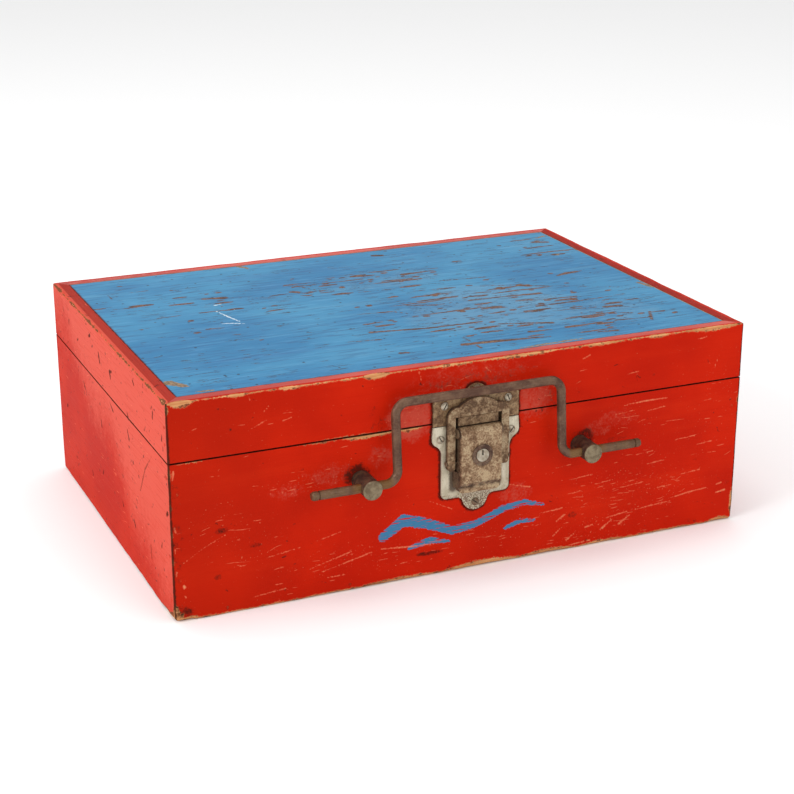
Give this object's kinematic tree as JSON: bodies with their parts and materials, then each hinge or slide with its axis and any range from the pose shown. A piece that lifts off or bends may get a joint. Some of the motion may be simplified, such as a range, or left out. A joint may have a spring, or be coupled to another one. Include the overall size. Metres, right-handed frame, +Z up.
{
  "type": "painted wooden carrying case",
  "caption": "Flat painted wooden case with a hinged lid, a bent iron bail handle on cross-drilled posts and a draw-bolt lock with a key plug.",
  "frame": {"origin": "centre of the case's underside, midway between the left and right faces and between the front and back faces of the wood", "axes": "+X to the right as seen from the front, +Y from the front with the lock to the back with the hinges, +Z up"},
  "size_m": [0.4, 0.3064, 0.142],
  "materials": {
    "red_paint": "old oil paint on pine, chipped along the edges",
    "blue_paint": "old oil paint on pine, cracked along the grain",
    "bare_wood": "bare pine, dusty",
    "rusty_iron": "worn plating with mottled rust",
    "handle_steel": "dull brown steel polished by use",
    "plated_steel": "dull cream plating, stained"
  },
  "bodies": {
    "case": {"case_front_board": "red_paint", "case_back_board": "red_paint", "case_left_board": "red_paint", "case_right_board": "red_paint", "bottom_panel": "bare_wood", "case_nails": "rusty_iron", "left_handle_post": "handle_steel", "right_handle_post": "handle_steel", "post_washers": "rusty_iron", "post_nuts": "rusty_iron", "lock_base_plate": "plated_steel", "lock_base_screws": "plated_steel", "lever_hinge_pin": "handle_steel", "lock_staple": "handle_steel", "left_hinge_case_leaf": "rusty_iron", "right_hinge_case_leaf": "rusty_iron", "left_hinge_pin": "handle_steel", "right_hinge_pin": "handle_steel", "hinge_case_screws": "rusty_iron"},
    "lid": {"lid_front_rail": "red_paint", "lid_back_rail": "red_paint", "lid_left_rail": "red_paint", "lid_right_rail": "red_paint", "lid_panel": "blue_paint", "lid_nails": "rusty_iron", "catch_plate": "rusty_iron", "catch_keeper": "rusty_iron", "catch_screws": "plated_steel", "left_hinge_lid_leaf": "rusty_iron", "right_hinge_lid_leaf": "rusty_iron", "hinge_lid_screws": "rusty_iron"},
    "handle": {"handle_bail": "handle_steel"},
    "lever": {"lever_case": "rusty_iron", "link_rivets": "handle_steel", "key_collar": "rusty_iron"},
    "link": {"draw_link": "rusty_iron"},
    "key": {"key_plug": "plated_steel", "lock_cam": "handle_steel", "cam_screw": "handle_steel"}
  },
  "joints": [
    {"name": "lid_hinge", "type": "hinge", "parent": "case", "child": "lid", "pos_m": [0, 0.1434, 0.104], "axis": [-1, 0, 0], "range_deg": [0, 180]},
    {"name": "bail_pivot", "type": "hinge", "parent": "case", "child": "handle", "pos_m": [0, -0.153, 0.0745], "axis": [1, 0, 0], "range_deg": [0, 193]},
    {"name": "lever_hinge", "type": "hinge", "parent": "case", "child": "lever", "pos_m": [0.0015, -0.1458, 0.0972], "axis": [-1, 0, 0], "range_deg": [0, 100]},
    {"name": "link_pivot", "type": "hinge", "parent": "lever", "child": "link", "pos_m": [0.0015, -0.1434, 0.077], "axis": [1, 0, 0], "range_deg": [0, 136]},
    {"name": "key_turn", "type": "hinge", "parent": "lever", "child": "key", "pos_m": [0.0019, -0.15, 0.0823], "axis": [0, -1, 0], "range_deg": [0, 90]}
  ],
  "couplings": [
    {"joint": "link_pivot", "follows": "lever_hinge", "ratio": 1.35}
  ]
}
